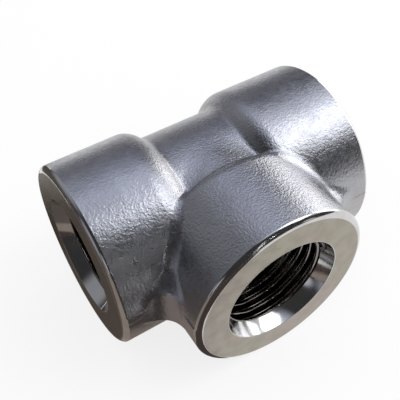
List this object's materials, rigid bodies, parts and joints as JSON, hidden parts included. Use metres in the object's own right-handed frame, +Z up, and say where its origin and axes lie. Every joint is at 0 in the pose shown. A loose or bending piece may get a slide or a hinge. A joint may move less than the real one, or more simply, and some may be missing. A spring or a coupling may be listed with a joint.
{
  "type": "pipe tee",
  "caption": "Forged steel pipe tee with female taper pipe threads at the ends of its run and its branch.",
  "frame": {"origin": "under the middle of the tee, on the surface it lies on with both its axes level", "axes": "+X along the run, -Y the way the branch opens, +Z up, square to both axes"},
  "size_m": [0.05, 0.0412, 0.033],
  "materials": {
    "forged_steel": "blasted and pickled forging skin, satin with a fine orange peel",
    "machined_steel": "lathe-turned end faces, chamfers, counterbores and threads"
  },
  "bodies": {
    "root": {"tee_body": "forged_steel"}
  },
  "joints": []
}
